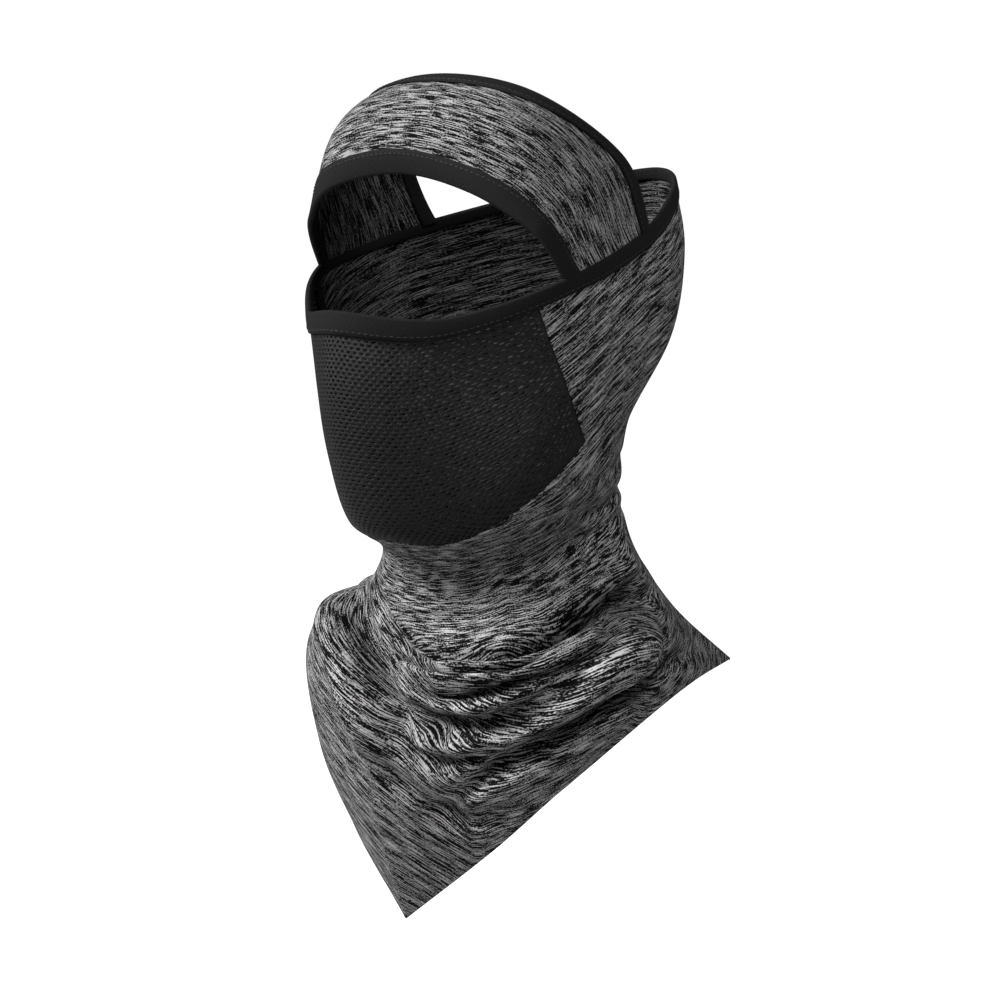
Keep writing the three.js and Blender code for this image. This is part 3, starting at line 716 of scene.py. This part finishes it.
class Nodes:
    """A short way to write a material's node tree."""

    def __init__(self, name):
        self.material = bpy.data.materials.new(name)
        self.material.use_nodes = True
        self.tree = self.material.node_tree
        self.shader = self.tree.nodes["Principled BSDF"]

    def link(self, value, socket):
        if isinstance(value, bpy.types.NodeSocket):
            self.tree.links.new(value, socket)
        else:
            socket.default_value = value

    def add(self, kind, settings=(), **inputs):
        node = self.tree.nodes.new(kind)
        for key, value in dict(settings).items():
            setattr(node, key, value)
        for key, value in inputs.items():
            self.link(value, node.inputs[int(key[1:])] if key[0] == "_" else node.inputs[key])
        return node

    def math(self, operation, a, b=0.0, c=0.0):
        return self.add("ShaderNodeMath", {"operation": operation}, _0=a, _1=b, _2=c).outputs[0]

    def cloth(self):
        """Millimetres of cloth along the courses and across them."""
        node = self.add("ShaderNodeUVMap", {"uv_map": "cloth"})
        split = self.add("ShaderNodeSeparateXYZ", _0=node.outputs[0])
        return (self.math("MULTIPLY", split.outputs[k], UV_SIZE) for k in (0, 1))

    def noise(self, vector, scale, detail=2.0):
        return self.add("ShaderNodeTexNoise", Vector=vector, Scale=scale, Detail=detail).outputs[0]

    def patches(self, along, down, size, detail=2.0):
        """Noise whose patches are size[0] millimetres along the cloth and size[1] across it."""
        x, y = (self.math("DIVIDE", value, side) for value, side in zip((along, down), size))
        return self.noise(self.add("ShaderNodeCombineXYZ", _0=x, _1=y).outputs[0], 1.0, detail)

    def ripple(self, value, pitch):
        return self.math("SINE", self.math("MULTIPLY", value, 2 * math.pi / pitch))

    def ramp(self, value, *stops):
        node = self.add("ShaderNodeValToRGB", _0=value)
        elements = node.color_ramp.elements
        for k, (place, colour) in enumerate(stops):
            element = elements[k] if k < 2 else elements.new(place)
            element.position = place
            element.color = (*colour, 1) if hasattr(colour, "__len__") else (colour, colour, colour, 1)
        return node.outputs[0]

    def attribute(self, name):
        return self.add("ShaderNodeAttribute", {"attribute_name": name}).outputs["Fac"]

    def scaled(self, colour, share):
        return self.add("ShaderNodeVectorMath", {"operation": "SCALE"}, _0=colour, Scale=share).outputs[0]

    def bump(self, height, distance, strength):
        return self.add("ShaderNodeBump", Height=height, Distance=distance, Strength=strength).outputs[0]

    def finish(self, tone, roughness, specular, normal):
        self.link(tone, self.shader.inputs["Base Color"])
        self.shader.inputs["Roughness"].default_value = roughness
        self.shader.inputs["Specular IOR Level"].default_value = specular
        self.link(normal, self.shader.inputs["Normal"])
        return self.material


# Sizes in the cloth are in millimetres, along the knit's courses and across them. Colours are
# linear, from 0 to 1.
INSIDE_PAINTED_SHADE = -0.56  # painted shade on the knit's inner face: change of its tone there, as a share
HEATHER_DARK, BODY_LIGHT, BAND_LIGHT = 0.005, 0.47, 0.37
BODY_BALANCE, BAND_BALANCE = 0.745, 0.74  # where dark yarn gives way to light
BELOW_BALANCE, ABOVE_BALANCE = 0.035, 0.05
SWAY_SIZE, SWAY_HEIGHT = (26.0, 16.0), 1.6  # how the courses wander
DASH_SIZE, DASH_SHARE = (12.0, 0.44), 0.80
CLUSTER_SIZE, CLUSTER_SHARE = (20.0, 2.2), 0.28
GRAIN_SIZE, GRAIN_SHARE = (1.1, 0.6), 0.34
COURSE_PITCH = 0.55
GRAIN_RELIEF, COURSE_RELIEF, KNIT_BUMP, KNIT_BUMP_STRENGTH = 0.8, 0.35, 0.00025, 0.7
KNIT_ROUGHNESS, KNIT_SPECULAR = 0.92, 0.05


def heather(name, light, balance):
    """Space-dyed jersey, whose yarn runs from black to light grey along each course."""
    n = Nodes(name)
    along, down = n.cloth()
    down = n.math("MULTIPLY_ADD", n.patches(along, down, SWAY_SIZE, 1.0), SWAY_HEIGHT, down)
    dashes = n.patches(along, down, DASH_SIZE)
    clusters = n.patches(along, down, CLUSTER_SIZE)
    grain = n.patches(along, down, GRAIN_SIZE, 1.0)
    value = n.math("MULTIPLY_ADD", clusters, CLUSTER_SHARE, n.math("MULTIPLY", dashes, DASH_SHARE))
    value = n.math("MULTIPLY_ADD", grain, GRAIN_SHARE, value)
    tone = n.ramp(value, (balance - BELOW_BALANCE, HEATHER_DARK), (balance + ABOVE_BALANCE, light))
    # painted shade: the knit's inner face is darkened by a share of its tone
    tone = n.scaled(tone, n.math("MULTIPLY_ADD", n.attribute("inside"), INSIDE_PAINTED_SHADE, 1.0))
    course = n.math("MULTIPLY", n.ripple(down, COURSE_PITCH), COURSE_RELIEF)
    relief = n.bump(n.math("MULTIPLY_ADD", grain, GRAIN_RELIEF, course), KNIT_BUMP, KNIT_BUMP_STRENGTH)
    return n.finish(tone, KNIT_ROUGHNESS, KNIT_SPECULAR, relief)


WALE_PITCH, LOOP_PITCH, TRICOT_BUMP, TRICOT_BUMP_STRENGTH = 0.75, 0.45, 0.0001, 0.5
TRICOT_CLOUD = (5.0, 3.0)
TRICOT_DARK, TRICOT_LIGHT = (0.004, 0.004, 0.0045), (0.009, 0.009, 0.0095)
TRICOT_ROUGHNESS, TRICOT_SPECULAR = 0.5, 0.25


def tricot(name):
    """Black perforated tricot, fine wales with a slight sheen."""
    n = Nodes(name)
    along, down = n.cloth()
    stitches = n.math("ADD", n.ripple(along, WALE_PITCH), n.ripple(down, LOOP_PITCH))
    cloud = n.patches(along, down, TRICOT_CLOUD, 3.0)
    tone = n.ramp(cloud, (0.35, TRICOT_DARK), (0.7, TRICOT_LIGHT))
    relief = n.bump(stitches, TRICOT_BUMP, TRICOT_BUMP_STRENGTH)
    return n.finish(tone, TRICOT_ROUGHNESS, TRICOT_SPECULAR, relief)


RIB_PITCH, FUZZ_SIZE, FUZZ_RELIEF, TAPE_BUMP, TAPE_BUMP_STRENGTH = 0.8, (0.4, 1 / 1.2), 0.6, 0.00012, 0.6
TAPE_DARK, TAPE_LIGHT = (0.006, 0.006, 0.0065), (0.014, 0.014, 0.015)
TAPE_ROUGHNESS, TAPE_SPECULAR = 0.8, 0.12


def ribbed_tape(name):
    """Matt black elastic binding with fine ribs across it."""
    n = Nodes(name)
    along, down = n.cloth()
    fuzz = n.patches(along, down, FUZZ_SIZE, 3.0)
    tone = n.ramp(fuzz, (0.3, TAPE_DARK), (0.75, TAPE_LIGHT))
    ribs = n.math("MULTIPLY_ADD", fuzz, FUZZ_RELIEF, n.ripple(along, RIB_PITCH))
    relief = n.bump(ribs, TAPE_BUMP, TAPE_BUMP_STRENGTH)
    return n.finish(tone, TAPE_ROUGHNESS, TAPE_SPECULAR, relief)


PLY_SCALE, THREAD_BUMP, THREAD_BUMP_STRENGTH = 3000.0, 0.0001, 0.6
THREAD_DARK, THREAD_LIGHT = (0.004, 0.004, 0.0045), (0.009, 0.009, 0.0095)
THREAD_ROUGHNESS, THREAD_SPECULAR = 0.5, 0.5


def thread_material(name):
    """Twisted black polyester thread."""
    n = Nodes(name)
    ply = n.noise(n.add("ShaderNodeTexCoord").outputs["Object"], PLY_SCALE)
    tone = n.ramp(ply, (0.3, THREAD_DARK), (0.7, THREAD_LIGHT))
    relief = n.bump(ply, THREAD_BUMP, THREAD_BUMP_STRENGTH)
    return n.finish(tone, THREAD_ROUGHNESS, THREAD_SPECULAR, relief)


body_knit = heather("heather_body", BODY_LIGHT, BODY_BALANCE)
band_knit = heather("heather_band", BAND_LIGHT, BAND_BALANCE)
mesh_black = tricot("perforated_tricot")
tape_black = ribbed_tape("binding_tape")
thread_black = thread_material("sewing_thread")

# ---------------------------------------------------------------- assembly


def finish_piece(obj, material, nodes, blended=False):
    """Gives a piece its material, attaches it to the mask's body unless it is blended, when its transform
    is baked in instead, and hides the CAD nodes it stands for.
    """
    obj.data.materials.clear()
    obj.data.materials.append(material)
    if blended:
        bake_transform(obj)
    else:
        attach(obj, "mask")
    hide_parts(*nodes)
    return obj


body = finish_piece(make_body(), body_knit, ["body_shell"])
panel = finish_piece(make_panel(), mesh_black, ["mesh_panel"])
finish_piece(make_rim_binding(), tape_black, ["rim_binding"])
finish_piece(make_rim_stitches(), thread_black, ["rim_stitching"])
finish_piece(make_back_seam(), body_knit, ["back_seam"])
finish_piece(make_panel_seam(), mesh_black, ["mesh_panel_seam"])
headband = finish_piece(make_headband(), band_knit,
                        ["headband", "headband_root_left", "headband_root_right"], blended=True)
finish_piece(make_band_binding("headband_front_tape", True), tape_black,
             ["headband_front_binding"], blended=True)
finish_piece(make_band_binding("headband_rear_tape", False), tape_black,
             ["headband_rear_binding"], blended=True)
finish_piece(make_band_stitches("headband_front_topstitch", True), thread_black,
             ["headband_front_stitching"], blended=True)
finish_piece(make_band_stitches("headband_rear_topstitch", False), thread_black,
             ["headband_rear_stitching"], blended=True)

# ---------------------------------------------------------------- floor, light and camera

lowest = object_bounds()[0][2]
FLOOR_REACH, FLOOR_DROP = 40.0, 0.25  # metres out from the middle, and below the object


def make_floor():
    """A wide, pale, shadowless floor below the object."""
    reach, level = FLOOR_REACH / MM, (lowest - FLOOR_DROP) / MM
    corners = [(-reach, -reach, level), (reach, -reach, level), (reach, reach, level),
               (-reach, reach, level)]
    floor = mesh_object("floor", corners, [(0, 1, 2, 3)])
    n = Nodes("pale_floor")
    n.shader.inputs["Base Color"].default_value = (0.6, 0.6, 0.6, 1)
    n.shader.inputs["Roughness"].default_value = 0.9
    n.shader.inputs["Emission Color"].default_value = (1, 1, 1, 1)
    seen = n.tree.nodes.new("ShaderNodeLightPath").outputs["Is Camera Ray"]
    n.link(seen, n.shader.inputs["Emission Strength"])
    floor.data.materials.append(n.material)


CAMERA_AZIMUTH, CAMERA_ELEVATION, CAMERA_DISTANCE = 44, 8, 1.322
CAMERA_LENS, CAMERA_SENSOR = 100, 36
CAMERA_TARGET = Vector((0.001, 0.001, -0.123))
LIGHT_DISTANCE = 1.8
# name, azimuth and elevation in degrees, diameter in metres, power in watts
LIGHTS = [("key", -34, 38, 0.55, 49), ("top", 76, 56, 0.7, 14)]
WORLD_STRENGTH = 0.105


def direction(azimuth, elevation):
    """From the object towards a place: azimuth from the front to the left, in degrees."""
    a, e = math.radians(azimuth), math.radians(elevation)
    return Vector((math.sin(a) * math.cos(e), -math.cos(a) * math.cos(e), math.sin(e)))


def make_camera():
    data = bpy.data.cameras.new("camera")
    data.lens = CAMERA_LENS
    data.sensor_width = CAMERA_SENSOR
    camera = bpy.data.objects.new("camera", data)
    back = direction(CAMERA_AZIMUTH, CAMERA_ELEVATION)
    camera.location = CAMERA_TARGET + back * CAMERA_DISTANCE
    camera.rotation_euler = (-back).to_track_quat("-Z", "Y").to_euler()
    bpy.context.collection.objects.link(camera)
    bpy.context.scene.camera = camera


def area_light(name, azimuth, elevation, size, power):
    data = bpy.data.lights.new(name, "AREA")
    data.shape = "DISK"
    data.size = size
    data.energy = power
    light = bpy.data.objects.new(name, data)
    light.location = CAMERA_TARGET + direction(azimuth, elevation) * LIGHT_DISTANCE
    light.rotation_euler = (CAMERA_TARGET - light.location).to_track_quat("-Z", "Y").to_euler()
    bpy.context.collection.objects.link(light)


make_floor()
make_camera()
for light in LIGHTS:
    area_light(*light)


def make_world():
    """White where the camera looks past the floor, dim as a source of light."""
    world = bpy.data.worlds.new("studio")
    world.use_nodes = True
    tree = world.node_tree
    background = tree.nodes["Background"]
    background.inputs["Color"].default_value = (1, 1, 1, 1)
    seen = tree.nodes.new("ShaderNodeLightPath").outputs["Is Camera Ray"]
    strength = tree.nodes.new("ShaderNodeMath")
    strength.operation = "MAXIMUM"
    strength.inputs[1].default_value = WORLD_STRENGTH
    tree.links.new(seen, strength.inputs[0])
    tree.links.new(strength.outputs[0], background.inputs["Strength"])
    bpy.context.scene.world = world


make_world()
bpy.context.scene.view_settings.view_transform = "Standard"
